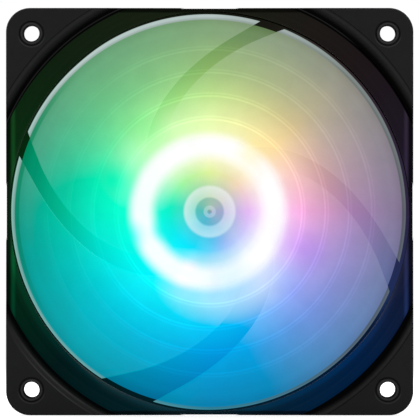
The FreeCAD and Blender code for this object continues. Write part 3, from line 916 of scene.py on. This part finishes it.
def section(radius, gap, rounding):
    """A closed loop of points round a blade at this radius. rounding draws it in at the tip."""
    after = (gap + 1) % len(GAPS)
    trail = GAPS[gap][1] + swept(radius, TRAIL_SWEEP)
    lead = GAPS[after][0] + swept(radius, LEAD_SWEEP)
    if after == 0:
        lead += FULL_TURN
    chord = radius * math.radians(lead - trail)
    flare = FLARE_UP * max(0.0, 1 - (radius - HUB_R) / FLARE_REACH) ** 2
    up = ridge_height(radius) - rounding
    half = BLADE / 2
    loop = []

    def add(along, height):
        share = along / chord
        depth = BLADE_FRONT + BLADE_RISE * ((1 - BLADE_CAMBER) * share + BLADE_CAMBER * share * share)
        loop.append(polar(radius, lead + (trail - lead) * share, depth + height))

    # Relief and flare die out at the first and last points of each side, next to the rounded edges.
    sides = [min(1.0, min(step, CHORD_STEPS - step) / 1.5) for step in range(CHORD_STEPS + 1)]
    for step, relief in enumerate(sides):
        along = half + (chord - BLADE) * step / CHORD_STEPS
        add(along, rounding * (1 - relief) - (up + flare) * relief)
    for step in range(1, EDGE_STEPS):
        angle = math.pi * step / EDGE_STEPS
        add(chord - half + half * math.sin(angle), half - (half - rounding) * math.cos(angle))
    for step, relief in reversed(list(enumerate(sides))):
        along = half + (chord - BLADE) * step / CHORD_STEPS
        add(along, BLADE - rounding + flare * relief)
    for step in range(1, EDGE_STEPS):
        angle = math.pi * step / EDGE_STEPS
        add(half - half * math.sin(angle), half + (half - rounding) * math.cos(angle))
    return loop


def blade_mesh(gap):
    """Points and faces of one blade, closed at its tip and at its root inside the hub's wall."""
    loops = [section(radius, gap, 0.0) for radius in blade_rows()]
    for step in range(TIP_STEPS + 1):
        turn = math.pi / 2 * step / TIP_STEPS
        radius = TIP_R - TIP_ROUND * (1 - math.sin(turn))
        loops.append(section(radius, gap, TIP_ROUND * (1 - math.cos(turn))))
    count = len(loops[0])
    points = [p for loop in loops for p in loop]
    faces = []
    for row in range(len(loops) - 1):
        for i in range(count):
            j = (i + 1) % count
            here, there = row * count, (row + 1) * count
            faces.append((here + i, there + i, there + j, here + j))
    # Each end is closed by strips from the front of the blade to its back.
    span = CHORD_STEPS + 1
    turn_points = EDGE_STEPS - 1

    def mirror(i):
        return 2 * span + turn_points - 1 - i

    for row, flip in ((0, False), (len(loops) - 1, True)):
        start = row * count
        for i in range(span - 1):
            quad = (start + i, start + i + 1, start + mirror(i + 1), start + mirror(i))
            faces.append(tuple(reversed(quad)) if flip else quad)
        trail_end = [start + span - 1 + i for i in range(turn_points + 2)]
        lead_end = [start + (2 * span + turn_points - 1 + i) % count for i in range(turn_points + 2)]
        for fan in (trail_end, lead_end):
            faces.append(tuple(fan) if flip else tuple(reversed(fan)))
    return points, faces


def hub_outline():
    """The hub's section, from the front of the axis to the back of it, with its corners eased."""
    ring_in, ring_out, ring_up = FACE_RING
    gate_in, gate_out, gate_up = GATE_RING
    dish = HUB_FRONT + FACE_DISH
    inside = HUB_FRONT + HUB_CAP
    collar = YOKE_R + YOKE_COLLAR
    return rounded(
        [
            (0.0, dish, 0),
            (gate_in, dish, 0.06),
            (gate_in, dish - gate_up, 0.08),
            (gate_out, dish - gate_up, 0.08),
            (gate_out, dish, 0.06),
            (ring_in, dish, 0.1),
            (ring_in, HUB_FRONT - ring_up, 0.15),
            (ring_out, HUB_FRONT - ring_up, 0.15),
            (ring_out, HUB_FRONT, 0.1),
            (HUB_R, HUB_FRONT, HUB_ROUND),
            (HUB_R, HUB_REAR, 0.3),
            (HUB_R - HUB_WALL, HUB_REAR, 0.3),
            (HUB_R - HUB_WALL, inside, 0.3),
            (collar, inside, 0.3),
            (collar, YOKE_COLLAR_REAR, 0.2),
            (YOKE_R, YOKE_COLLAR_REAR, 0.1),
            (YOKE_R, inside, 0),
            (0.0, inside, 0),
        ]
    )


def impeller(material):
    """The hub and its blades as one piece."""
    points, faces = turned(hub_outline(), HUB_SEGMENTS)
    for gap in range(len(GAPS)):
        more_points, more_faces = blade_mesh(gap)
        offset = len(points)
        points = points + more_points
        faces = faces + [tuple(i + offset for i in face) for face in more_faces]
    piece = new_mesh("lit_impeller", points, faces, material)
    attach(piece, "rotor")
    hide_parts("impeller")


# Studio.

CAMERA_DISTANCE = 5.5
VIEW_WIDTH = 0.12372
AIM = (0.095 * MM, 0.473 * MM)
SENSOR = 36.0
FLOOR_SIZE = 6.0
WORLD_LIGHT = 0.025
WORLD_SEEN = 0.98

# Each lamp's name, azimuth, elevation, distance, size and power.
LAMPS = (
    ("key", -3, 10, 1.2, 1.0, 6.6),
    ("left", 222, 30, 1.2, 0.8, 14.0),
    ("right", 138, 34, 1.2, 0.8, 14.0),
    ("back", 178, 42, 1.2, 0.9, 10.0),
)


def camera():
    data = bpy.data.cameras.new("camera")
    data.sensor_width = SENSOR
    data.lens = SENSOR * CAMERA_DISTANCE / VIEW_WIDTH
    data.clip_start = 0.05
    data.clip_end = 20.0
    seen = bpy.data.objects.new("camera", data)
    seen.location = (AIM[0], FRONT - CAMERA_DISTANCE, AIM[1])
    seen.rotation_euler = (math.radians(90), 0, 0)
    bpy.context.scene.collection.objects.link(seen)
    bpy.context.scene.camera = seen


def softbox(name, azimuth, elevation, distance, size, power):
    """A square area light that faces the fan. Azimuth 0 is in front, and 90 on its right."""
    turn, rise = math.radians(azimuth), math.radians(elevation)
    away = Vector((math.sin(turn) * math.cos(rise), -math.cos(turn) * math.cos(rise), math.sin(rise)))
    data = bpy.data.lights.new(name, "AREA")
    data.size = size
    data.energy = power
    lamp = bpy.data.objects.new(name, data)
    lamp.location = away * distance
    lamp.rotation_mode = "QUATERNION"
    lamp.rotation_quaternion = away.to_track_quat("Z", "Y")
    lamp.visible_camera = False
    bpy.context.scene.collection.objects.link(lamp)


def lights():
    for lamp in LAMPS:
        softbox(*lamp)


def white_world():
    """White behind the fan, and only a little light from all round."""
    world = bpy.data.worlds.new("studio")
    world.use_nodes = True
    tree = world.node_tree
    seen = node(tree, "ShaderNodeLightPath").outputs["Is Camera Ray"]
    strength = calc(tree, "ADD", product(tree, seen, WORLD_SEEN), WORLD_LIGHT)
    background = tree.nodes["Background"]
    background.inputs["Color"].default_value = (1.0, 1.0, 1.0, 1.0)
    tree.links.new(strength, background.inputs["Strength"])
    bpy.context.scene.world = world


def floor():
    """A pale floor under the fan. It looks as white as the world, less a soft shadow."""
    half = FLOOR_SIZE / 2
    low = cad_box[0].z
    corners = [(-half, -half, low), (half, -half, low), (half, half, low), (-half, half, low)]
    mesh = bpy.data.meshes.new("floor")
    mesh.from_pydata(corners, [], [(0, 1, 2, 3)])
    material = bpy.data.materials.new("floor")
    material.use_nodes = True
    tree = material.node_tree
    tree.nodes.remove(tree.nodes["Principled BSDF"])
    seen = node(tree, "ShaderNodeLightPath").outputs["Is Camera Ray"]
    point = node(tree, "ShaderNodeNewGeometry").outputs["Position"]
    away = node(tree, "ShaderNodeVectorMath", {0: point}, operation="LENGTH").outputs["Value"]
    strength = product(tree, seen, fade(tree, away, 0.25, 0.8, 0.82, 1.0))
    pale = node(tree, "ShaderNodeBsdfDiffuse", {"Color": (0.3, 0.3, 0.3, 1.0)})
    white = node(tree, "ShaderNodeEmission", {"Strength": strength})
    both = node(tree, "ShaderNodeAddShader", {0: pale.outputs[0], 1: white.outputs[0]})
    tree.links.new(both.outputs[0], tree.nodes["Material Output"].inputs["Surface"])
    mesh.materials.append(material)
    plane = bpy.data.objects.new("floor", mesh)
    bpy.context.scene.collection.objects.link(plane)


materials = make_materials()
paint_nodes(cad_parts, materials)
impeller(materials["blade_plastic"])
camera()
lights()
white_world()
floor()
bpy.context.scene.view_settings.view_transform = "Standard"
